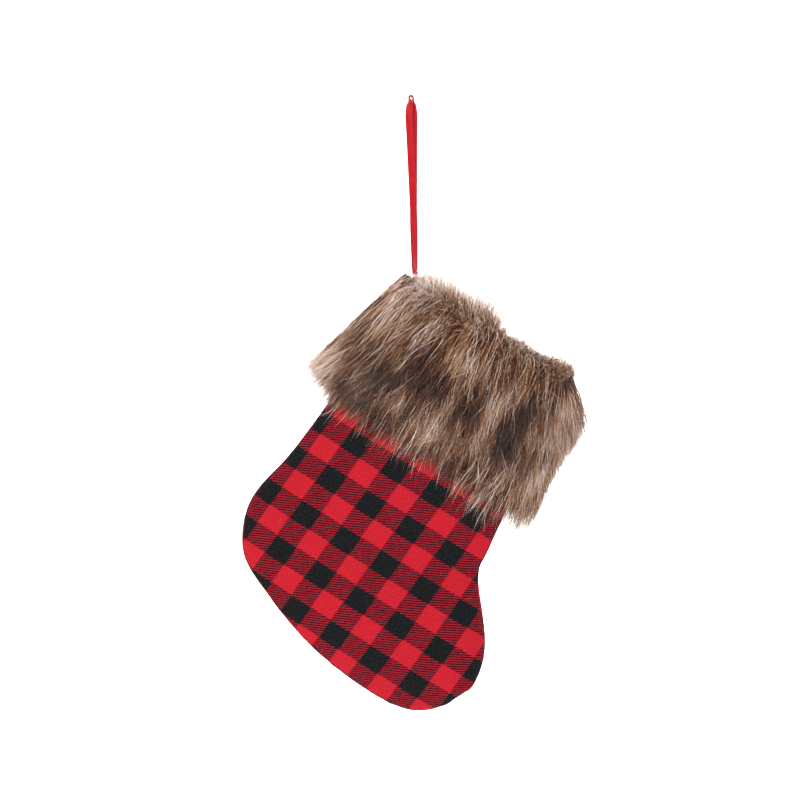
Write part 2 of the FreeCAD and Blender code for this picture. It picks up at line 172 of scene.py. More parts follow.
CHECK_UV = "cloth_mm"
BAKE_UV = "OFBake"
CHECK_ACROSS = 18.5
CHECK_DOWN = 17.2
CHECK_CENTRE = (67.4, 119.8)
CHECK_SKEW = 0.06
DARK_ACROSS = 9.2
DARK_DOWN = 8.6
TWILL_STEP = 0.95
TWILL_TURN = math.radians(27)
YARN = 0.45
FUZZ = 0.5
LINE_SHAKE = 0.9
EDGE_TOOTH = 0.22
EDGE_SOFT = 0.08
FUZZ_SHARE = 0.35
LINE_STEP = (-0.5, 0.2)
SPECK_STEP = (0.66, 0.78)
RED_STEP = (0.25, 0.75)
BLACK_STEP = (0.45, 0.85)
WAVE_HEIGHT = 0.35
FUZZ_HEIGHT = 1.6
CLOTH_RELIEF_M = 0.0001

RED_SHADE = linear(140, 14, 26)
RED_LIGHT = linear(186, 33, 46)
BLACK = linear(12, 13, 15)
BLACK_FUZZ = linear(52, 52, 56)
LINE_RED = linear(140, 24, 37)
LINE_DARK = linear(38, 11, 17)
LINE_FUZZ = linear(150, 70, 78)


def check_cloth():
    """Red and black check in a brushed twill weave. Its UV layer holds millimetres on the flat cloth."""
    shader = Shader("check_cloth", 0.92)
    place, across, down = shader.uv(CHECK_UV)
    along = shader.plus(shader.times(across, math.sin(TWILL_TURN)), shader.times(down, math.cos(TWILL_TURN)))
    grain = shader.noise(place, 1 / YARN, 3.0)
    fuzz = shader.noise(place, 1 / FUZZ, 5.0)
    shake = shader.times(shader.plus(grain, -0.5), LINE_SHAKE)
    shaky = shader.plus(shader.math("DIVIDE", along, TWILL_STEP), shake)
    wave = shader.math("SINE", shader.times(shaky, 2 * math.pi))
    tooth = shader.times(wave, EDGE_TOOTH)

    def dark_band(value, centre, period, width):
        """1 inside the dark yarns' bands, with edges that the twill cuts into teeth."""
        shifted = shader.plus(shader.plus(value, -centre), tooth)
        within = shader.math("FLOORED_MODULO", shader.plus(shifted, period / 2), period)
        cell = shader.math("ABSOLUTE", shader.plus(within, -period / 2))
        return shader.step(cell, width / 2 + EDGE_SOFT, width / 2 - EDGE_SOFT)

    skewed = shader.plus(across, shader.times(shader.plus(down, -CHECK_CENTRE[1]), CHECK_SKEW))
    warp = dark_band(skewed, CHECK_CENTRE[0], CHECK_ACROSS, DARK_ACROSS)
    weft = dark_band(down, CHECK_CENTRE[1], CHECK_DOWN, DARK_DOWN)
    both = shader.times(warp, weft)
    either = shader.math("MAXIMUM", warp, weft)

    lines = shader.step(wave, *LINE_STEP)
    mixed = shader.mix(lines, LINE_RED, LINE_DARK)
    mixed = shader.mix(shader.times(shader.step(fuzz, *SPECK_STEP), FUZZ_SHARE), mixed, LINE_FUZZ)
    red = shader.mix(shader.step(grain, *RED_STEP), RED_SHADE, RED_LIGHT)
    black = shader.mix(shader.step(fuzz, *BLACK_STEP), BLACK, BLACK_FUZZ)
    shader.colour(shader.mix(both, shader.mix(either, red, mixed), black))
    height = shader.plus(shader.times(wave, WAVE_HEIGHT), shader.times(fuzz, FUZZ_HEIGHT))
    shader.bump(height, CLOTH_RELIEF_M, 0.55)
    shader.shine(0.08)
    return shader.material


WEAVE_SCALE = 1600
WEAVE_PATCHES = 120
GRAIN_SHARE = 0.6
WEAVE_STEP = (0.3, 0.7)


def plain_weave(name, colour, shade, roughness=0.9):
    """Plain woven cotton or felt in one colour."""
    shader = Shader(name, roughness)
    place = shader.object_place()
    grain = shader.noise(place, WEAVE_SCALE, 3.0)
    patch = shader.noise(place, WEAVE_PATCHES, 2.0)
    tone = shader.plus(shader.times(grain, GRAIN_SHARE), shader.times(patch, 1 - GRAIN_SHARE))
    shader.colour(shader.mix(shader.step(tone, *WEAVE_STEP), shade, colour))
    shader.bump(grain, CLOTH_RELIEF_M, 0.6)
    shader.shine(0.25)
    return shader.material


# The fur's colour comes from two numbers on each hair: a tone that runs across this row of colours, and the
# share of the hair's length, which darkens the root and fades the tip.
FUR_TONES = [
    (0.00, linear(24, 8, 7)),
    (0.18, linear(50, 20, 13)),
    (0.34, linear(90, 45, 28)),
    (0.50, linear(148, 95, 58)),
    (0.64, linear(194, 145, 100)),
    (0.80, linear(224, 192, 170)),
    (1.00, linear(254, 240, 234)),
]
ROOT_COLOUR = linear(32, 12, 9)
ROOT_SHARE = 0.6
ROOT_ENDS = (0.05, 0.55)
TIP_COLOUR = linear(232, 208, 192)
TIP_SHARE = 0.16
TIP_ENDS = (0.62, 1.0)


def fur():
    """Hair, coloured along its length."""
    shader = Shader("fur_pile", 0.5)
    _, tone, length = shader.uv(BAKE_UV)
    base = shader.ramp(tone, FUR_TONES)
    root = shader.mix(ROOT_SHARE, base, ROOT_COLOUR)
    tip = shader.mix(TIP_SHARE, base, TIP_COLOUR)
    rising = shader.step(length, *ROOT_ENDS)
    fading = shader.step(length, *TIP_ENDS)
    shader.colour(shader.mix(fading, shader.mix(rising, root, base), tip))
    shader.shine(0.2)
    return shader.material


SATIN_RIBS = 900.0
SATIN_PATCHES = 260
SATIN_RELIEF_M = 0.00003
THREAD_PLIES = 700.0
THREAD_RELIEF_M = 0.00005


def satin():
    """Red satin ribbon: fine ribs across it and a soft sheen."""
    shader = Shader("satin_ribbon", 0.42)
    place = shader.object_place()
    ribs = shader.node("ShaderNodeTexWave", {"Vector": place, "Scale": SATIN_RIBS, "Distortion": 0.6},
                       bands_direction="Z").outputs["Fac"]
    patch = shader.noise(place, SATIN_PATCHES, 2.0)
    shader.colour(shader.mix(patch, linear(146, 6, 18), linear(178, 13, 28)))
    shader.bump(ribs, SATIN_RELIEF_M, 0.5)
    shader.shine(0.16)
    shader.surface.inputs["Sheen Weight"].default_value = 0.03
    shader.surface.inputs["Sheen Tint"].default_value = (1.0, 0.75, 0.78, 1.0)
    return shader.material


def twisted_thread(name, colour, shade):
    """Sewing thread: two plies that wind around each other."""
    shader = Shader(name, 0.6)
    place = shader.object_place()
    ply = shader.node("ShaderNodeTexWave", {"Vector": place, "Scale": THREAD_PLIES, "Distortion": 0.4},
                      bands_direction="DIAGONAL").outputs["Fac"]
    shader.colour(shader.mix(ply, shade, colour))
    shader.bump(ply, THREAD_RELIEF_M, 0.6)
    return shader.material


CHECK = check_cloth()
LINING = plain_weave("lining_cloth", linear(226, 216, 198), linear(206, 194, 174))
BACKING = plain_weave("fur_backing", linear(70, 48, 38), linear(38, 25, 22), 0.95)
FUR = fur()
SATIN = satin()
DARK_THREAD = twisted_thread("dark_thread", linear(70, 14, 20), linear(38, 8, 12))
PALE_THREAD = twisted_thread("pale_thread", linear(230, 222, 206), linear(196, 186, 168))

# ---- meshes

def in_scene(name, data):
    """An object with this data, linked to the scene."""
    made = bpy.data.objects.new(name, data)
    bpy.context.scene.collection.objects.link(made)
    return made


def smooth_piece(name, points_m, faces, material):
    """A smooth-shaded mesh whose points are metres of the row frame."""
    mesh = bpy.data.meshes.new(name)
    mesh.from_pydata(points_m.tolist(), [], faces)
    mesh.polygons.foreach_set("use_smooth", [True] * len(mesh.polygons))
    mesh.materials.append(material)
    mesh.update()
    return in_scene(name, mesh)


def mesh_piece(name, points, faces, material):
    """A smooth-shaded mesh whose points are millimetres of the upright frame."""
    return smooth_piece(name, placed(points), faces, material)


def stands_for(piece, node):
    """A piece that shows in place of a CAD node and moves with the stocking."""
    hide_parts(node)
    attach(piece, "stocking")


def grid_faces(rows, columns, flip=False):
    """Quads between neighbours of a grid whose points are listed row by row."""
    faces = []
    for row in range(rows - 1):
        for column in range(columns - 1):
            first = row * columns + column
            quad = (first, first + 1, first + 1 + columns, first + columns)
            faces.append(quad[::-1] if flip else quad)
    return faces


def add_uv(piece, layer, places):
    """Gives every corner of the mesh its vertex's place."""
    mesh = piece.data
    corners = np.empty(len(mesh.loops), np.int32)
    mesh.loops.foreach_get("vertex_index", corners)
    made = mesh.uv_layers.new(name=layer)
    made.data.foreach_set("uv", np.asarray(places, np.float32)[corners].ravel())


# ---- the stocking's rows

MOUTH_DOWN = 1.2
LEG_END = 66.0
FAN_PIVOT = (112.0, 66.0)
LEG_ROWS = 44
FOOT_ROWS = 84
COLUMNS = 61
FAR = 300.0
SEAM_SLICE = -0.4
SLICE_REACH = 0.8
MOUTH_MARGIN = 0.05
TOE_SEARCH = (70, 90)
TOE_HALVINGS = 24
DEPTH_LIMIT = 0.32
DEPTH_SMOOTHINGS = 6


def local_surface(node):
    """A CAD node's surface in the upright frame."""
    mesh = frame["nodes"][node].data
    points = np.array([vertex.co for vertex in mesh.vertices]) - SWING_M
    upright = np.stack([points @ ACROSS, points @ DOWN, points @ BACK], 1) / MM
    faces = [face.vertices[:] for face in mesh.polygons]
    return BVHTree.FromPolygons([Vector(point) for point in upright], faces)


shell_surface = local_surface("front_shell")


def row_line(position):
    """A point past the instep side and the direction across the stocking. Positions from -1 to 0 are rows of
    the leg, from the mouth to its end; above 0 the rows fan around the pivot by this angle."""
    if position <= 0:
        return (FAR, LEG_END + position * (LEG_END - MOUTH_DOWN - MOUTH_MARGIN)), (-1.0, 0.0)
    turn = math.pi - position
    return FAN_PIVOT, (math.cos(turn), math.sin(turn))


def sliced(position, back):
    """Where a row's line enters and leaves the CAD outline at this distance in front of the side seams."""
    start, way = row_line(position)
    far_start = (start[0] + way[0] * 2 * FAR, start[1] + way[1] * 2 * FAR)
    near = shell_surface.ray_cast(Vector((*start, back)), Vector((*way, 0)))[0]
    far = shell_surface.ray_cast(Vector((*far_start, back)), Vector((-way[0], -way[1], 0)))[0]
    return None if near is None or far is None else np.array([near[:2], far[:2]])


def crossing(position):
    """The row's ends on the seams, instep side first, carried on from two slices. None if the line misses."""
    first, second = sliced(position, SEAM_SLICE), sliced(position, 2 * SEAM_SLICE)
    if first is None or second is None:
        return None
    return first + np.clip(first - second, -SLICE_REACH, SLICE_REACH)


def toe_turn():
    """The largest fan angle whose line still meets the toe."""
    inside, outside = (math.radians(angle) for angle in TOE_SEARCH)
    for _ in range(TOE_HALVINGS):
        middle = (inside + outside) / 2
        inside, outside = (inside, middle) if crossing(middle) is None else (middle, outside)
    return inside


positions = np.concatenate([np.linspace(-1, 0, LEG_ROWS, endpoint=False),
                            np.linspace(0, toe_turn(), FOOT_ROWS) + 1e-9])
crossings = [crossing(position) for position in positions]
step_side, heel_side = np.moveaxis(np.array(crossings), 1, 0)
ROWS = len(positions)
row_middle = (step_side + heel_side) / 2
half_width = np.linalg.norm(step_side - heel_side, axis=1) / 2
row_way = (step_side - heel_side) / np.maximum(2 * half_width, 1e-6)[:, None]


def middle_depth(point):
    hit = shell_surface.ray_cast(Vector((point[0], point[1], -FAR)), Vector((0, 0, 1)))[0]
    return 0.0 if hit is None else -hit[2]


half_depth = np.array([middle_depth(point) for point in row_middle])
half_depth = np.minimum(half_depth, DEPTH_LIMIT * half_width)
for _ in range(DEPTH_SMOOTHINGS):
    half_depth[1:-1] = (half_depth[:-2] + 2 * half_depth[1:-1] + half_depth[2:]) / 4

FULLNESS = 0.66
FRONT_INSET = 0.55
CUFF_FREE = (46.0, 62.0)
THINNEST = 0.02


def cross_section(row, shares, side, inset=0.0, sink=0.0):
    """Points of one row across the front (side -1) or the back (side 1)."""
    reach = max(half_width[row] - inset, THINNEST)
    depth = max(half_depth[row] - sink, THINNEST)
    bulge = depth * np.power(np.clip(1 - shares ** 2, 0, 1), FULLNESS)
    flat = row_middle[row] + np.outer(shares * reach, row_way[row])
    return np.column_stack([flat, side * bulge])


# The seam's small folds and the cloth's wider swells: height, size and how far from the seam they reach.
FOLD_HEIGHT = 0.22
FOLD_ALONG = 3.4
FOLD_INWARDS = 9
FOLD_FADE = 3.5
SWELL_HEIGHT = 0.35
SWELL_SIZE = 26
SWELL_START = 10


def pucker(points, row_length, from_edge):
    """Small folds that the seam draws into the cloth."""
    folds = np.array([wander(row_length / FOLD_ALONG, edge / FOLD_INWARDS, 4.1) for edge in from_edge])
    swell = np.array([wander(point[0] / SWELL_SIZE, point[1] / SWELL_SIZE, 9.3) for point in points])
    return (FOLD_HEIGHT * folds * np.exp(-from_edge / FOLD_FADE)
            + SWELL_HEIGHT * swell * smooth(0, SWELL_START, from_edge))


edge_length = np.concatenate([[0], np.cumsum(np.linalg.norm(np.diff(heel_side, axis=0), axis=1))])
edge_shares = np.sin(np.linspace(-math.pi / 2, math.pi / 2, COLUMNS))
walls = {side: np.array([cross_section(row, edge_shares, side) for row in range(ROWS)]) for side in (-1, 1)}

BLOW_FRAMES = 20
BLOW_CAP = 2.2
BLOW_INWARDS = 0.3
BLOW_SETTINGS = {"vertex_group_mass": "pins", "quality": 8, "mass": 0.2, "bending_stiffness": 0.6,
                 "use_pressure": True, "uniform_pressure_force": 4.0}


def blown(grid, side):
    """How far every point of a wall moves when the sewn pocket is blown up a little: a cloth simulation with
    its seams and mouth pinned. Millimetres of the upright frame."""
    rows, columns = grid.shape[:2]
    piece = mesh_piece("blown_wall", grid.reshape(-1, 3), grid_faces(rows, columns, side < 0), CHECK)
    pins = piece.vertex_groups.new(name="pins")
    held = [row * columns + column for row in range(rows) for column in range(columns)
            if row in (0, rows - 1) or column in (0, columns - 1)]
    pins.add(held, 1.0, "REPLACE")
    cloth = piece.modifiers.new("cloth", "CLOTH")
    for key, value in BLOW_SETTINGS.items():
        setattr(cloth.settings, key, value)
    cloth.settings.effector_weights.gravity = 0.0
    cloth.point_cache.frame_start = 1
    cloth.point_cache.frame_end = BLOW_FRAMES
    for number in range(1, BLOW_FRAMES + 1):
        bpy.context.scene.frame_set(number)
    settled = piece.evaluated_get(bpy.context.evaluated_depsgraph_get()).to_mesh()
    found = np.array([vertex.co for vertex in settled.vertices]) - placed(grid.reshape(-1, 3))
    bpy.data.objects.remove(piece)
    bpy.context.scene.frame_set(1)
    moves = np.stack([found @ ACROSS, found @ DOWN, found @ BACK], 1) / MM
    size = np.linalg.norm(moves, axis=1, keepdims=True)
    moves *= np.minimum(1, BLOW_CAP / np.maximum(size, 1e-6))
    moves[:, 2] = side * np.maximum(side * moves[:, 2], -BLOW_INWARDS)
    return moves.reshape(rows, columns, 3)


wall_moves = {side: blown(grid, side)
              for side, grid in walls.items()}

CHORD_SLACK = 0.035
BAKE_MARGIN = 0.01


def cloth_sheet(name, side, material, inset, sink, wrap, rows=ROWS, uv_shift=(0.0, 0.0)):
    """One wall of the stocking as a grid of rows. wrap lists points past both ends of each row, in order
    outwards: how far inside the outline and how far back they lie."""
    points, flat_places = [], []
    for row in range(rows):
        section = cross_section(row, edge_shares, side, inset, sink)
        room = min(1.0, half_depth[row] / 4)
        if wrap:
            from_edge = half_width[row] * (1 - np.abs(edge_shares))
            lift = pucker(section, edge_length[row], from_edge)
            free = smooth(*CUFF_FREE, section[:, 1])
            section += (wall_moves[side][row] + np.outer(side * lift * room, BACK)) * free[:, None]
            section[:, 2] += wrap[0][1] * room
        reaches = [(max(half_width[row] - into, THINNEST / 2), back * room) for into, back in wrap[1:]]
        tail = [np.array([*(row_middle[row] + end * row_way[row] * reach), back])
                for end in (-1, 1) for reach, back in reaches]
        half = len(tail) // 2
        full = np.vstack(tail[:half][::-1] + [section] + tail[half:])
        run = np.linalg.norm(np.diff(full, axis=0), axis=1)
        chord = (full[:, :2] - row_middle[row]) @ row_way[row]
        length = np.concatenate([[0], np.cumsum(run)])
        length -= length[len(full) // 2]
        slack = CHORD_SLACK * half_width[row]
        extra = np.sign(chord) * np.maximum(np.abs(length - chord) - slack, 0)
        points.append(full)
        flat_places.append(row_middle[row] + np.outer(chord + extra, row_way[row]) + np.array(uv_shift))
    columns = len(points[0])
    piece = mesh_piece(name, np.vstack(points), grid_faces(rows, columns, side < 0), material)
    places = np.vstack(flat_places)
    add_uv(piece, CHECK_UV, places)
    low, high = places.min(0), places.max(0)
    add_uv(piece, BAKE_UV, (places - low) / (high - low) * (1 - 2 * BAKE_MARGIN) + BAKE_MARGIN)
    return piece


FRONT_WRAP = [(0, -0.5), (0.75, -0.42), (1.3, -0.15)]
BACK_WRAP = [(0, 0.05), (0.12, -0.22), (0.45, -0.42), (1.1, -0.2)]

front_cloth = cloth_sheet("front_cloth", -1, CHECK, FRONT_INSET, 0.0, FRONT_WRAP)
back_cloth = cloth_sheet("back_cloth", 1, CHECK, 0.0, 0.0, BACK_WRAP, uv_shift=(5.2, 3.1))
stands_for(front_cloth, "front_shell")
stands_for(back_cloth, "back_shell")

LINING_INSET = 1.9
LINING_SINK = 1.3
LINING_ROWS = ROWS - 6
for name, side in (("front", -1), ("back", 1)):
    sheet = cloth_sheet(f"{name}_lining_cloth", side, LINING, LINING_INSET, LINING_SINK, [], LINING_ROWS)
    stands_for(sheet, f"{name}_lining")

# ---- fur cuff

# The fur's outline by depth below the swing point: heel side, instep side and half of its thickness.
FUR_OUTLINE = [
    (-6, 4, 66, 6), (0, -2.5, 73, 10.5), (8, -6, 84, 13.5), (16, -8.5, 91, 15),
    (24, -9.5, 90.5, 15.5), (38, -14, 89.5, 16), (50, -17.5, 90.5, 15), (56, -18, 91.5, 13.5),
    (60, -13, 92, 12.5), (64, -5, 92, 11.5),
]
HAIR_LEVELS = 6
HAIR_ROOT = 0.12
HAIR_TIP = 0.035
HAIRS_PER_PIECE = 6000
GROUND_RISE = 1.1
CORNER_SINK = 0.8
CORNER_SIDE = (0.85, 1)
CORNER_DOWN = (2, 14)
LENS_POWER = 1.15
TINY = 1e-9
# Any direction that no hair runs along.
OFF_AXIS = (0.37, 0.21, 0.9)


def looked_up(table, place):
    """The table's other columns where its first one has this value."""
    first, *others = np.array(table).T
    return [np.interp(place, first, column) for column in others]


def leg_outline(down):
    """Heel side, instep side and half depth of the leg's cloth."""
    depths = heel_side[:LEG_ROWS, 1]
    return [np.interp(down, depths, values[:LEG_ROWS])
            for values in (heel_side[:, 0], step_side[:, 0], half_depth)]


def ring_point(outline, down, angle, grow=0.0):
    """A point on a rounded lens around the leg. Angle 0 is the instep side, pi the heel side, and negative
    angles are the front."""
    heel, step, depth = outline
    share = np.cos(angle)
    across = (heel + step) / 2 + share * ((step - heel) / 2 + grow)
    back = np.sign(np.sin(angle)) * (depth + grow) * np.power(np.abs(np.sin(angle)), LENS_POWER)
    return np.stack([across, down + 0 * across, back], -1)


def normed(vectors, spare=0.0):
    """Vectors of length 1 along the last axis. A spare length keeps empty ones at 0."""
    return vectors / (np.linalg.norm(vectors, axis=-1, keepdims=True) + spare)


def hair_mesh(name, paths, tones, root_radius, tip_radius):
    """Tapered three-sided hairs along paths of shape (hairs, rings + 1, 3), each ending in a point."""
    hairs, levels, _ = paths.shape
    rings = levels - 1
    way = normed(np.gradient(paths, axis=1), TINY)
    aside = normed(np.cross(way, np.array(OFF_AXIS)), TINY)
    beside = np.cross(way, aside)
    share = np.linspace(0, 1, levels)[None, :rings, None]
    radius = root_radius[:, None, None] * (1 - share) + tip_radius * share
    corners = []
    for corner in range(3):
        turn = corner * 2 * math.pi / 3
        outwards = math.cos(turn) * aside + math.sin(turn) * beside
        corners.append(paths[:, :rings] + radius * outwards[:, :rings])
    tube = np.stack(corners, 2).reshape(hairs, rings * 3, 3)
    points = np.concatenate([tube, paths[:, -1:]], 1).reshape(-1, 3)
    per_hair = rings * 3 + 1

    quads = np.array([(ring * 3 + corner, ring * 3 + (corner + 1) % 3,
                       ring * 3 + 3 + (corner + 1) % 3, ring * 3 + 3 + corner)
                      for ring in range(rings - 1) for corner in range(3)])
    triangles = np.array([(rings * 3 - 3 + corner, rings * 3 - 3 + (corner + 1) % 3, rings * 3)
                          for corner in range(3)] + [(2, 1, 0)])
    shift = (np.arange(hairs) * per_hair)[:, None, None]
    corner_list = np.concatenate([(quads[None] + shift).reshape(hairs, -1),
                                  (triangles[None] + shift).reshape(hairs, -1)], 1).ravel()
    sizes = np.tile(np.concatenate([np.full(len(quads), 4), np.full(len(triangles), 3)]), hairs)
    starts = np.concatenate([[0], np.cumsum(sizes)[:-1]])

    mesh = bpy.data.meshes.new(name)
    mesh.vertices.add(len(points))
    mesh.vertices.foreach_set("co", placed(points).astype(np.float32).ravel())
    mesh.loops.add(len(corner_list))
    mesh.loops.foreach_set("vertex_index", corner_list.astype(np.int32))
    mesh.polygons.add(len(sizes))
    mesh.polygons.foreach_set("loop_start", starts.astype(np.int32))
    mesh.polygons.foreach_set("use_smooth", np.ones(len(sizes), bool))
    mesh.update(calc_edges=True)
    mesh.validate()
    mesh.materials.append(FUR)
    piece = in_scene(name, mesh)
    tone = np.concatenate([np.repeat(tones[:, :rings], 3, axis=1), tones[:, -1:]], 1)
    length = np.append(np.repeat(np.linspace(0, 1, levels)[:rings], 3), 1.0)
    places = np.stack([tone, np.broadcast_to(length, tone.shape)], -1).clip(BAKE_MARGIN, 1 - BAKE_MARGIN)
    add_uv(piece, BAKE_UV, places.reshape(-1, 2))
    return piece


# Where the fur is darker or lighter: across, down, size across, size down, change of tone. Most are the
# fur's own patches; the lighter ones by the heel edge (across -15) and the instep edge (across 80 and 84) are
# painted edge light on the hairs along the fur's outline.
FUR_PATCHES_AND_EDGE_LIGHT = [
    (48, 35, 6, 9, -0.34), (65, 37, 6, 9, -0.36), (12, 40, 10, 5.5, -0.36), (23, 31, 8, 6, -0.26),
    (34, 32, 6, 5, -0.08), (4, 30, 6, 7, -0.22), (65, 25, 5, 7, -0.26), (55, 52, 6, 6, -0.12),
    (30, 12, 8, 5, -0.06), (-1, 17, 7, 8, 0.12), (12, 17, 8, 7, 0.06), (20, 44, 7, 7, 0.10),
    (38, 48, 6, 7, 0.12), (53, 29, 5, 8, 0.10), (36, 20, 9, 6, 0.08), (84, 34, 8, 12, 0.14),
    (80, 14, 8, 8, 0.14), (76, 54, 8, 7, 0.08), (5, 2, 8, 5, 0.24), (24, 0, 16, 4, 0.22),
    (50, 1, 16, 4, 0.20), (-15, 50, 6, 7, 0.30), (6, 54, 12, 6, -0.20), (32, 58, 14, 5, -0.16),
    (62, 59, 16, 5, -0.16),
]
GROUND_TONE = 0.395
PATCH_STRENGTH = 1.45
BACK_SHIFT = 9.0
STREAK_STEP = 3.0
STREAK_LOW = (-45.0, -30.0)
STREAK_CELLS = (60, 42)
# What each kind of streak varies by, and the size of its patches across and down, largest first.
STREAK_KINDS = {
    "tone": [(0.28, 5.0, 14.0), (0.18, 13.0, 20.0)],
    "lean": [(0.30, 8.0, 12.0), (0.14, 22.0, 26.0)],
}


def streak_grid(kind, back):
    """A coarse grid of smooth noise, so that thousands of hairs can share it."""
    def value(column, row):
        """Every amount, side and kind takes its own slice of the noise."""
        return sum(amount * wander(column * STREAK_STEP / wide, row * STREAK_STEP / tall,
                                   amount * 90 + 40 * back + 7 * (kind == "lean"))
                   for amount, wide, tall in STREAK_KINDS[kind])

    return np.array([[value(column, row) for row in range(STREAK_CELLS[1])]
                     for column in range(STREAK_CELLS[0])])


streak_grids = {(kind, back): streak_grid(kind, back) for kind in STREAK_KINDS for back in (False, True)}


def streaks(kind, across, down, front):
    """The grid's value at each place, on the front or the back."""
    values = np.empty(len(across))
    a = np.clip((across - STREAK_LOW[0]) / STREAK_STEP, 0, STREAK_CELLS[0] - 1.001)
    d = np.clip((down - STREAK_LOW[1]) / STREAK_STEP, 0, STREAK_CELLS[1] - 1.001)
    a0, d0 = a.astype(int), d.astype(int)
    fa, fd = a - a0, d - d0
    for back in (False, True):
        grid = streak_grids[(kind, back)]
        value = ((grid[a0, d0] * (1 - fa) + grid[a0 + 1, d0] * fa) * (1 - fd)
                 + (grid[a0, d0 + 1] * (1 - fa) + grid[a0 + 1, d0 + 1] * fa) * fd)
        values = np.where(front != back, value, values)
    return values


def fur_tone(across, down, front):
    """The ground tone of the fur at a place, with painted edge light along the heel and instep edges of its
    outline. The back gets its own streaks.
    """
    tone = GROUND_TONE + streaks("tone", across, down, front)
    shift = np.where(front, 0.0, BACK_SHIFT)
    # Some patches are painted edge light: they lighten the hairs along the outline's heel and instep edges.
    for middle, depth, wide, tall, change in FUR_PATCHES_AND_EDGE_LIGHT:
        distance = ((across - middle - shift) / wide) ** 2 + ((down - depth) / tall) ** 2
        tone = tone + PATCH_STRENGTH * change * np.exp(-distance)
    return tone


# Which way the fur is combed: degrees towards the instep from straight down, by place from the heel side to
# the instep side.
FLOW_LEAN = ([-1, -0.6, -0.25, 0.1, 0.5, 1], [-27, -20, 0, 18, 24, 30])


# How far the fur stands above the mouth, and which way it leans, by place across.
CREST_REACH = ([-3, 1, 6, 15, 25, 33, 38, 41, 44, 50, 60, 66, 70, 75],
               [0.4, 3.5, 9, 8.5, 11, 13.5, 10.5, 3.5, 1.2, 3.0, 2.0, 5.5, 6, 1])
CREST_LEAN = ([-2, 3, 8, 33, 50, 65, 74], [25, 5, -28, -20, 10, 15, -15])
CREST_DEEP = 13.0


def ground_rise(angle, down):
    """How far the fur's ground stands off the cloth: least at the mouth's heel corner."""
    corner = smooth(*CORNER_SIDE, -np.cos(angle)) * (1 - smooth(*CORNER_DOWN, down))
    return GROUND_RISE - CORNER_SINK * corner


# Where the coat's hairs root. Pairs give where a change begins and where it is complete: by depth, or around
# the leg from 0 in the middle to 1 at a side seam.
FUR_ROOT_END = 45.0
ROOT_CROWDING = 0.95
SIDE_SHORTER, SIDE_AROUND = 0.12, (0.8, 1.0)
# How long they are and which way they lie.
HAIR_REACH = 19.5
REACH_MEAN, REACH_SPREAD = 0.95, 0.2
REACH_LIMITS = (0.4, 1.35)
INSTEP_LONGER, INSTEP_AROUND, INSTEP_DOWN = 0.26, (0.2, 0.9), (20, 40)
UNTIDY_SHARE, UNTIDY_TIMES = 0.3, 2.4
LEAN_SPREAD = 0.17
# How far their tips fill the fur's outline: 0 on the leg, 1 on the outline.
PULL_AROUND = (0.72, 1.0)
FULL_LOW, FULL_POWER = 0.4, 0.7
LOOSE_SHARE, LOOSE_AT_SIDES = 0.08, 0.2
LOOSE_FULL = (1.0, 1.1)
FRINGE_FLATTER, FRINGE_DOWN = 0.45, (44, 62)
TIP_GAP = 0.6
# How they bend on the way, in shares of their length.
LIFT_LIMITS = (0.16, 0.34)
CORNER_FLATTER, FLATTER_AROUND, FLATTER_DOWN = 0.8, (0.8, 0.97), (3, 18)
RISE_ALONG = 0.16
FALL_ALONG, FALL_INWARDS = 0.36, 0.02
RISE_TO_CREST, CREST_DOWN = 0.4, (0, 9)


def coat_root(angle, down, grow=0.0):
    """Where a hair leaves the fur's ground, or a point that lies this much further out."""
    return ring_point(leg_outline(np.maximum(down, MOUTH_DOWN)), down, angle, ground_rise(angle, down) + grow)


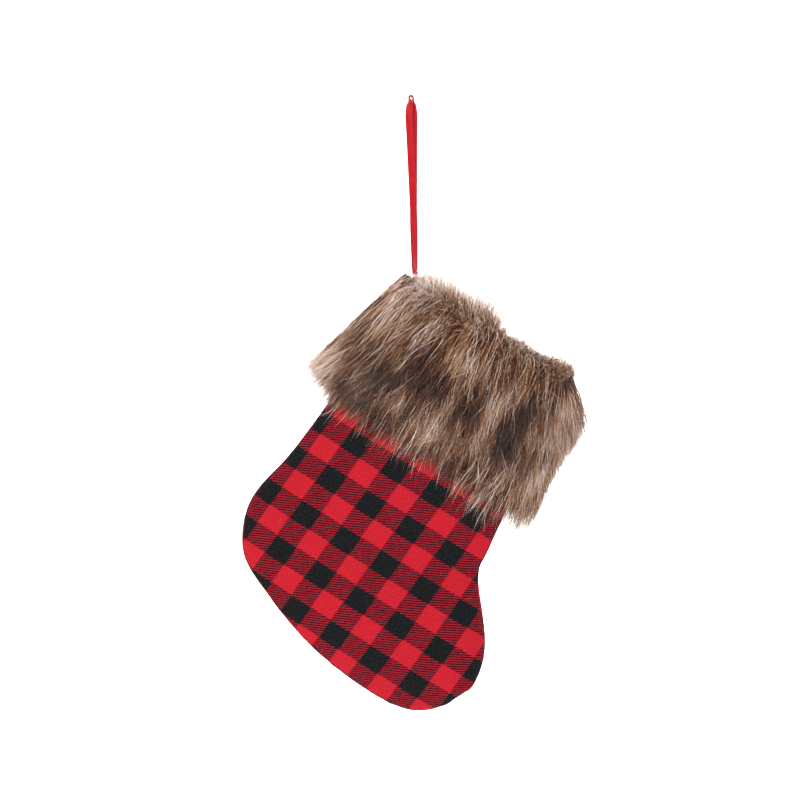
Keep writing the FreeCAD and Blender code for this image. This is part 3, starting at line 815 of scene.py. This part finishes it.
def combed(count, seed):
    """The main coat, swept from the backing down to the fur's outline: the random source, the four control
    points of each hair, and which hairs are on the front."""
    rng = np.random.default_rng(seed)
    angle = rng.uniform(-math.pi, math.pi, count)
    front = angle < 0
    side = np.abs(np.cos(angle))
    down = FUR_ROOT_END * rng.uniform(0, 1, count) ** ROOT_CROWDING
    down = down * (1 - SIDE_SHORTER * smooth(*SIDE_AROUND, side))
    root = coat_root(angle, down)
    reach = HAIR_REACH * rng.normal(REACH_MEAN, REACH_SPREAD, count).clip(*REACH_LIMITS)
    reach *= 1 + INSTEP_LONGER * smooth(*INSTEP_AROUND, np.cos(angle)) * smooth(*INSTEP_DOWN, down)
    turned = streaks("lean", root[:, 0], root[:, 1], front)
    untidy = rng.uniform(0, 1, count) < UNTIDY_SHARE
    spread = rng.normal(0, LEAN_SPREAD, count) * np.where(untidy, UNTIDY_TIMES, 1.0)
    lean = np.radians(np.interp(np.cos(angle), *FLOW_LEAN)) + turned + spread
    tip_down = down + reach * np.cos(lean)
    tip_across = root[:, 0] + reach * np.sin(lean)
    heel, step, depth = looked_up(FUR_OUTLINE, tip_down)
    share = np.clip((tip_across - (heel + step) / 2) / ((step - heel) / 2), -1, 1)
    pull = smooth(*PULL_AROUND, side)
    share = share * (1 - pull) + np.sign(share) * np.maximum(np.abs(share), side) * pull
    tip_angle = np.arccos(np.clip(share, -1, 1)) * np.where(front, -1, 1)
    fullness = rng.uniform(FULL_LOW, 1.0, count) ** FULL_POWER
    loose = rng.uniform(0, 1, count) < LOOSE_SHARE + LOOSE_AT_SIDES * pull
    fullness = np.where(loose, rng.uniform(*LOOSE_FULL, count), fullness)
    fringe = smooth(*FRINGE_DOWN, tip_down)
    fullness = fullness * (1 - FRINGE_FLATTER * fringe * (1 - pull))
    outer = ring_point((heel, step, depth), tip_down, tip_angle)
    inner = ring_point(leg_outline(np.minimum(tip_down, LEG_END - 1)), tip_down, tip_angle, TIP_GAP)
    tip = inner + (outer - inner) * fullness[:, None]

    out = normed(coat_root(angle, down, 1) - root)
    length = np.linalg.norm(tip - root, axis=1)[:, None]
    flow = np.stack([np.sin(lean), np.cos(lean), np.zeros(count)], -1)
    flat_corner = 1 - CORNER_FLATTER * smooth(*FLATTER_AROUND, side) * (1 - smooth(*FLATTER_DOWN, down))
    lift = rng.uniform(*LIFT_LIMITS, count) * flat_corner
    rise = root + out * length * lift[:, None] + flow * length * RISE_ALONG
    crest_rise = RISE_TO_CREST * np.interp(root[:, 0], *CREST_REACH)
    rise[:, 1] -= crest_rise * (1 - smooth(*CREST_DOWN, down))
    fall = tip - flow * length * FALL_ALONG - out * length * FALL_INWARDS
    return rng, (root, rise, fall, tip), front


def bezier(first, second, third, last):
    share = np.linspace(0, 1, HAIR_LEVELS)[None, :, None]
    rest = 1 - share
    return (rest ** 3 * first[:, None] + 3 * rest ** 2 * share * second[:, None]
            + 3 * rest * share ** 2 * third[:, None] + share ** 3 * last[:, None])


WAVES = (0.5, 1.7)
WEAKEST = 0.3


def frizz(paths, rng, size):
    """A slight wave in each hair that grows towards its tip."""
    hairs, levels, _ = paths.shape
    share = np.linspace(0, 1, levels)[None, :]
    turn = rng.uniform(0, 2 * math.pi, (hairs, 1))
    waves = rng.uniform(*WAVES, (hairs, 1))
    sway = np.sin(turn + share * waves * 2 * math.pi) - np.sin(turn)
    way = normed(rng.normal(0, 1, (hairs, 1, 3)))
    amount = size * rng.uniform(WEAKEST, 1.0, (hairs, 1))
    return paths + (way * (sway * share * amount)[:, :, None])


TUFTS_PER_HAIR = 0.02
TUFT_SPACING = 4.0
TUFT_RADIUS = 2.2
TUFT_POWER = 1.6


def clump(paths, rng, spacing, strength):
    """Draws neighbouring hairs together towards their tips, as fur parts into tufts. Gives the new paths,
    each hair's tuft and the number of tufts."""
    hairs, levels, _ = paths.shape
    count = max(4, int(hairs * TUFTS_PER_HAIR * (TUFT_SPACING / spacing) ** 2))
    centres = rng.choice(hairs, count, replace=False)
    tree = KDTree(count)
    for number, point in enumerate(paths[centres, levels // 2]):
        tree.insert(Vector(point), number)
    tree.balance()
    nearest = np.array([tree.find(Vector(point))[1] for point in paths[:, levels // 2]])
    leader = paths[centres[nearest]]
    share = np.linspace(0, 1, levels)[None, :, None]
    drawn = strength * rng.uniform(WEAKEST, 1.0, (hairs, 1, 1)) * share ** TUFT_POWER
    distance = np.linalg.norm((paths - leader)[:, -1:], axis=2, keepdims=True)
    drawn = drawn * np.exp(-(distance / (TUFT_RADIUS * spacing)) ** 2)
    return leader * drawn + paths * (1 - drawn), nearest, count


TUFT_TONE_SPREAD = 0.10
HAIR_TONE_SPREAD = 0.20
PALE_SHARE, PALE_CHANGE = 0.18, 0.40
DARK_SHARE, DARK_CHANGE = 0.22, 0.30


def coat_tones(paths, rng, nearest, count):
    """Tone at every level of every hair: the place's ground tone, the tuft's own shade and the hair's own."""
    hairs, levels, _ = paths.shape
    flat = paths.reshape(-1, 3)
    tone = fur_tone(flat[:, 0], flat[:, 1], flat[:, 2] < 0).reshape(hairs, levels)
    tuft = rng.normal(0, TUFT_TONE_SPREAD, count)[nearest][:, None]
    own = rng.normal(0, HAIR_TONE_SPREAD, hairs)[:, None]
    pale = (rng.uniform(0, 1, hairs) < PALE_SHARE)[:, None] * PALE_CHANGE
    dark = (rng.uniform(0, 1, hairs) < DARK_SHARE)[:, None] * DARK_CHANGE
    return tone + tuft + own + pale - dark


THICKNESS_LIMITS = (0.7, 1.3)


def fur_pieces(name, paths, tones, rng, root_radius=HAIR_ROOT, tip_radius=HAIR_TIP):
    """Splits hairs into pieces that a viewer can carry."""
    hairs = len(paths)
    thick = root_radius * rng.uniform(*THICKNESS_LIMITS, hairs)
    made = []
    for number, start in enumerate(range(0, hairs, HAIRS_PER_PIECE)):
        part = slice(start, start + HAIRS_PER_PIECE)
        piece = hair_mesh(f"{name}_{number}", paths[part], tones[part], thick[part], tip_radius)
        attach(piece, "stocking")
        made.append(piece)
    return made


COAT_HAIRS = 50000
COAT_SEED = 11
COAT_TUFT, COAT_DRAWN = 2.6, 0.6
COAT_FRIZZ = 2.1
rng, controls, front = combed(COAT_HAIRS, COAT_SEED)
coat = bezier(*controls)
coat, nearest, clumps = clump(coat, rng, COAT_TUFT, COAT_DRAWN)
coat = frizz(coat, rng, COAT_FRIZZ)
tones = coat_tones(coat, rng, nearest, clumps)
order = np.argsort(~front, kind="stable")
coat, tones, front = coat[order], tones[order], front[order]
front_fur = fur_pieces("fur_front", coat[front], tones[front], rng)
back_fur = fur_pieces("fur_back", coat[~front], tones[~front], rng)


# Where the crest's hairs root; the mouth's heel corner stays empty.
CREST_ROOT_POWER = 1.4
CORNER_EMPTY = (-0.9, 5)
DEEP_START = 0.5
# How long they are: at the mouth, and where they root deepest.
CREST_TUFT_SIZE, CREST_TUFT_REACH, CREST_TUFT_LEAN = 4.5, 0.5, 0.4
CREST_LIMITS, CREST_LEAST = (0.4, 1.1), 0.4
LONG_SHARE, LONG_MORE, LONG_ACROSS = 0.05, 5.0, (2, 8)
DEEP_REACH, DEEP_LIMITS = 9.0, (0.5, 1.1)
# Which way they point and how they bend, in degrees and in shares of their length.
LEAN_JITTER = 22
TIP_OVER_LIMITS, TIP_OVER_DEEP, TIP_OVER_JITTER = (2, 30), 125, 12
OUTWARDS = 0.75
CREST_LIFT, CREST_RISE, CREST_FALL_LIFT = 0.2, 0.3, 0.4
CREST_TUFT, CREST_DRAWN = 2.2, 0.8
CREST_FRIZZ = 1.5
# Their tones from root to tip, and their radii.
CREST_TONES, CREST_TONE_SPREAD = (-0.05, 0.30), 0.17
TOP_PALER = 0.12
CREST_DARK_SHARE, CREST_DARK_CHANGE = 0.2, 0.5
CREST_ROOT, CREST_TIP = 0.10, 0.025


def crest(count, seed):
    """Pale hairs around the mouth: the top ones stand up, and those below them turn outwards and then down,
    so that the fur has no parting."""
    rng = np.random.default_rng(seed)
    angle = rng.uniform(-math.pi, math.pi, count)
    down = CREST_DEEP * rng.uniform(0, 1, count) ** CREST_ROOT_POWER
    kept = (np.cos(angle) >= CORNER_EMPTY[0]) | (down >= CORNER_EMPTY[1])
    angle, down, count = angle[kept], down[kept], int(kept.sum())
    root = coat_root(angle, down)
    tufts = np.array([wander(across / CREST_TUFT_SIZE, 2.0 + 5 * (back > 0), 31.0)
                      for across, _, back in root])
    deep = smooth(DEEP_START, CREST_DEEP, down)
    reach = np.interp(root[:, 0], *CREST_REACH) * rng.uniform(*CREST_LIMITS, count)
    reach = reach * (1 + CREST_TUFT_REACH * tufts)
    reach += LONG_MORE * (rng.uniform(0, 1, count) < LONG_SHARE) * smooth(*LONG_ACROSS, root[:, 0])
    reach = reach * (1 - deep) + DEEP_REACH * rng.uniform(*DEEP_LIMITS, count) * deep + CREST_LEAST
    lean = np.radians(np.interp(root[:, 0], *CREST_LEAN) + rng.normal(0, LEAN_JITTER, count))
    lean = lean + CREST_TUFT_LEAN * tufts
    side = np.sign(np.sin(angle))
    tip_over = np.radians(rng.uniform(*TIP_OVER_LIMITS, count) + TIP_OVER_DEEP * deep
                          + rng.normal(0, TIP_OVER_JITTER, count))
    way = normed(np.stack([np.sin(lean) * np.cos(tip_over / 2), -np.cos(tip_over),
                           side * OUTWARDS * np.sin(tip_over)], -1))
    tip = root + way * reach[:, None]
    lifted = np.stack([0 * lean, -CREST_LIFT * reach, side * CREST_LIFT * reach * np.abs(np.sin(angle))], -1)
    rise = root + way * reach[:, None] * CREST_RISE + lifted
    fall = tip - way * reach[:, None] * CREST_RISE + lifted * CREST_FALL_LIFT
    paths, _, _ = clump(bezier(root, rise, fall, tip), rng, CREST_TUFT, CREST_DRAWN)
    paths = frizz(paths, rng, CREST_FRIZZ)
    ground = fur_tone(root[:, 0], root[:, 1], angle < 0)[:, None]
    own = rng.normal(0, CREST_TONE_SPREAD, (count, 1))
    tones = ground + np.linspace(*CREST_TONES, HAIR_LEVELS) + own
    dark = CREST_DARK_CHANGE * (rng.uniform(0, 1, (count, 1)) < CREST_DARK_SHARE)
    tones = tones + TOP_PALER * (1 - deep[:, None]) - dark
    return fur_pieces("fur_crest", paths, tones, rng, CREST_ROOT, CREST_TIP)


CREST_HAIRS = 13000
CREST_SEED = 23
crest(CREST_HAIRS, CREST_SEED)

# Which rows and what share of each row the loose hairs may lie on, how far in front, and their looks.
STRAY_HAIRS = 16
STRAY_SEED = 5
STRAY_ROWS = (LEG_ROWS - 4, ROWS - 20)
STRAY_SHARE = 0.75
STRAY_OFF = 1.5
STRAY_LENGTH = (2, 5)
STRAY_BEND = np.array([0.8, 0.8, 0.08])
STRAY_TONE = 0.62
STRAY_ROOT, STRAY_TIP = 0.05, 0.03


def strays(seed):
    """Loose hairs on the check."""
    rng = np.random.default_rng(seed)
    row = rng.integers(*STRAY_ROWS, STRAY_HAIRS)
    share = rng.uniform(-STRAY_SHARE, STRAY_SHARE, STRAY_HAIRS)
    start = np.array([cross_section(number, np.array([place]), -1)[0] for number, place in zip(row, share)])
    start += wall_moves[-1][row, ((share + 1) / 2 * (COLUMNS - 1)).astype(int)] - STRAY_OFF * BACK
    turn = rng.uniform(0, 2 * math.pi, STRAY_HAIRS)
    way = np.stack([np.cos(turn), np.sin(turn), np.zeros(STRAY_HAIRS)], -1)
    way *= rng.uniform(*STRAY_LENGTH, (STRAY_HAIRS, 1))
    bend = rng.normal(0, 1, (STRAY_HAIRS, 2, 3)) * STRAY_BEND
    paths = bezier(start, start + way / 3 + bend[:, 0], start + way * 2 / 3 + bend[:, 1], start + way)
    tones = np.full((STRAY_HAIRS, HAIR_LEVELS), STRAY_TONE)
    return fur_pieces("fur_stray", paths, tones, rng, STRAY_ROOT, STRAY_TIP)


strays(STRAY_SEED)
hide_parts("cuff_pile_front")
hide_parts("cuff_pile_back")

UNDERFUR_ROWS = 24
UNDERFUR_COLUMNS = 60
UNDERFUR_ABOVE = 0.8
UNDERFUR_SINK = 0.1


def underfur(name, side):
    """The knitted ground of the fur, felted with its shortest hairs."""
    angle = side * np.linspace(0.0, math.pi, UNDERFUR_COLUMNS)
    points = [coat_root(angle, down, -UNDERFUR_SINK)
              for down in np.linspace(MOUTH_DOWN - UNDERFUR_ABOVE, FUR_ROOT_END, UNDERFUR_ROWS)]
    faces = grid_faces(UNDERFUR_ROWS, UNDERFUR_COLUMNS, side > 0)
    return mesh_piece(name, np.vstack(points), faces, BACKING)


for name, side in (("front", -1), ("back", 1)):
    stands_for(underfur(f"fur_ground_{name}", side), f"cuff_backing_{name}")

# ---- ribbon

RIBBON_WIDTH = 3.0
RIBBON_THICK = 0.25
RIBBON_CROWN = 0.12
EDGE_POWER = 6
EDGE_CORNERS = 11
RUN_STEPS = 150
ARCH_STEPS = 15
RUN_OVERLAP = 0.6
GATHER = 0.45
GATHER_ENDS = (0.5, 4.0)
HOOK_RADIUS = 1.0
LOOP_DROP = -SWING_M[2] / MM
LOOP_LEAN = SWING_M[0] / MM
# By depth below the hook: turn of the pair of runs in degrees, half the space between them, sideways slip.
RUN_LEVELS = [
    (0.0, 0.0, HOOK_RADIUS + RIBBON_THICK / 2, 0.0), (0.9, 12.0, 1.05, 0.0), (1.6, 38.0, 0.9, 0.1),
    (3.2, 68.0, 0.8, 0.4), (4.8, 82.0, 0.7, 0.75), (7.0, 88.0, 0.6, 0.95),
    (26.0, 92.0, 0.45, 0.45), (43.0, 100.0, 0.4, 0.1), (52.0, 113.0, 0.38, 0.0),
    (60.0, 128.0, 0.36, 0.0), (68.3, 142.0, 0.36, 0.0),
]


def run_place(drop, side):
    """Middle of a run at this depth, and the way its width points."""
    turn, space, slip = looked_up(RUN_LEVELS, drop)
    turn = math.radians(turn)
    x = side * (space * math.cos(turn) + slip * math.sin(turn)) + LOOP_LEAN * drop / LOOP_DROP
    y = side * (space * math.sin(turn) - slip * math.cos(turn))
    return np.array([x, y, -drop]), np.array([-math.sin(turn), math.cos(turn), 0.0])


def ribbon_outline():
    """Corners of the ribbon's section, outer and inner face: how wide and how high each lies, with rounded
    edges and a slight crown."""
    def corner(share, face):
        rounded = RIBBON_THICK / 2 * math.sqrt(max(1 - abs(share) ** EDGE_POWER, 0))
        return share * RIBBON_WIDTH / 2, face * rounded + RIBBON_CROWN * (1 - share ** 2)

    shares = np.sin(np.linspace(-math.pi / 2, math.pi / 2, EDGE_CORNERS))
    return [corner(share, 1) for share in shares], [corner(share, -1) for share in shares[-2:0:-1]]


def strip(name, middles, ways, gathers, material):
    """A ribbon through these middles, thicker on its outer face where it gathers. Millimetres of the row
    frame."""
    middles, ways = np.array(middles), np.array(ways)
    along = normed(np.gradient(middles, axis=0))
    ways = normed(ways - along * np.sum(ways * along, axis=1, keepdims=True))
    faces_way = np.cross(ways, along)
    outer, inner = ribbon_outline()
    count = len(outer) + len(inner)
    thicker = [high > 0 for _, high in outer] + [False] * len(inner)
    points = np.array([middle + way * wide + face * (high + gather * on)
                       for middle, way, face, gather in zip(middles, ways, faces_way, gathers)
                       for (wide, high), on in zip(outer + inner, thicker)])
    ends = (len(middles) - 1) * count
    faces = [(level + corner, level + (corner + 1) % count, level + (corner + 1) % count + count,
              level + corner + count) for level in range(0, ends, count) for corner in range(count)]
    faces += [tuple(range(count))[::-1], tuple(range(ends, ends + count))]
    return smooth_piece(name, points * MM, faces, material)


def ribbon_loop():
    """Both runs and the half turn over the hook, as one ribbon."""
    drops = np.linspace(0, RUN_LEVELS[-1][0] + RUN_OVERLAP, RUN_STEPS)
    left = [run_place(drop, -1) for drop in drops[::-1]]
    right = [run_place(drop, 1) for drop in drops]
    radius = HOOK_RADIUS + RIBBON_THICK / 2
    arch = [(np.array([-radius * math.cos(turn), 0.0, radius * math.sin(turn)]), BACK)
            for turn in np.linspace(0, math.pi, ARCH_STEPS)[1:-1]]
    places, ways = zip(*left, *arch, *right)
    gathers = [GATHER * (1 - smooth(*GATHER_ENDS, -place[2])) for place in places]
    return strip("ribbon_loop", places, ways, gathers, SATIN)


loop = ribbon_loop()
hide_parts("hanging_ribbon")
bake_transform(loop)

# ---- CAD parts that stay

CAD_MATERIALS = [
    (DARK_THREAD, ["shell_seam_thread", "cuff_side_threads", "mouth_threads", "ribbon_tack_thread"]),
    (PALE_THREAD, ["lining_seam_thread"]),
    (SATIN, ["ribbon_knot", "ribbon_neck", "ribbon_tails"]),
]
for material, nodes in CAD_MATERIALS:
    for node in nodes:
        kept = frame["nodes"][node].data.materials
        kept.clear()
        kept.append(material)

# ---- stage, light and camera

PAPER = 0.93
PAPER_SHADE = (0.99, 0.99, 0.985)
PAPER_GRAIN = 30
FLOOR_DOWN_M = -0.34
FLOOR_NEAR_M = -2.4
BACKDROP_M = 1.6
BACKDROP_TOP_M = 3.0
SWEEP_M = 0.6
SWEEP_STEPS = 13
SWEEP_HALF_WIDE_M = 4.0


def paper():
    shader = Shader("studio_paper", 0.9)
    grain = shader.noise(shader.object_place(), PAPER_GRAIN)
    shade = [PAPER * share for share in PAPER_SHADE]
    shader.colour(shader.mix(grain, (PAPER, PAPER, PAPER, 1), (*shade, 1)))
    return shader.material


def sweep():
    """A pale floor that curves up into the backdrop."""
    profile = [(FLOOR_NEAR_M, FLOOR_DOWN_M), (BACKDROP_M - SWEEP_M, FLOOR_DOWN_M)]
    for turn in np.linspace(0, math.pi / 2, SWEEP_STEPS)[1:]:
        profile.append((BACKDROP_M - SWEEP_M + SWEEP_M * math.sin(turn),
                        FLOOR_DOWN_M + SWEEP_M * (1 - math.cos(turn))))
    profile.append((BACKDROP_M, BACKDROP_TOP_M))
    points = np.array([(x, y, z) for y, z in profile for x in (-SWEEP_HALF_WIDE_M, SWEEP_HALF_WIDE_M)])
    return smooth_piece("studio_sweep", points, grid_faces(len(profile), 2), paper())


sweep()

# Where each light stands, its size, its power and where it points. Metres and watts.
STOCKING_M = (0.0, 0.0, -0.13)
LIGHTS = {
    "key": ((-0.7, -1.3, 0.9), 0.6, 27, STOCKING_M),
    "fill": ((1.2, -1.2, 0.0), 1.2, 7, STOCKING_M),
    "top": ((0.2, 0.3, 1.2), 0.7, 9, STOCKING_M),
    "backdrop_0": ((-1.3, 0.7, 0.5), 0.9, 32, (-0.3, BACKDROP_M, -0.1)),
    "backdrop_2": ((1.3, 0.7, 0.5), 0.9, 32, (0.3, BACKDROP_M, -0.1)),
}
for name, (place, size, power, target) in LIGHTS.items():
    light = bpy.data.lights.new(name, "AREA")
    light.shape = "DISK"
    light.size = size
    light.energy = power
    lamp = in_scene(name, light)
    lamp.location = place
    lamp.rotation_euler = (Vector(target) - Vector(place)).to_track_quat("-Z", "Y").to_euler()

WORLD_LIGHT = 0.48
bpy.context.scene.view_settings.view_transform = "Standard"
world = bpy.data.worlds.new("studio")
world.use_nodes = True
glow = world.node_tree.nodes["Background"].inputs
glow["Color"].default_value = (1, 1, 1, 1)
glow["Strength"].default_value = WORLD_LIGHT
bpy.context.scene.world = world

FRAME_WIDE = 320.0
LENS = 85.0
SENSOR = 36.0
VIEW_MIDDLE = (-4.4, -120.75)
camera_data = bpy.data.cameras.new("camera")
camera_data.lens = LENS
camera_data.sensor_width = SENSOR
camera = in_scene("camera", camera_data)
camera.location = (VIEW_MIDDLE[0] * MM, -FRAME_WIDE * MM * LENS / SENSOR, VIEW_MIDDLE[1] * MM)
camera.rotation_euler = (math.pi / 2, 0, 0)
bpy.context.scene.camera = camera
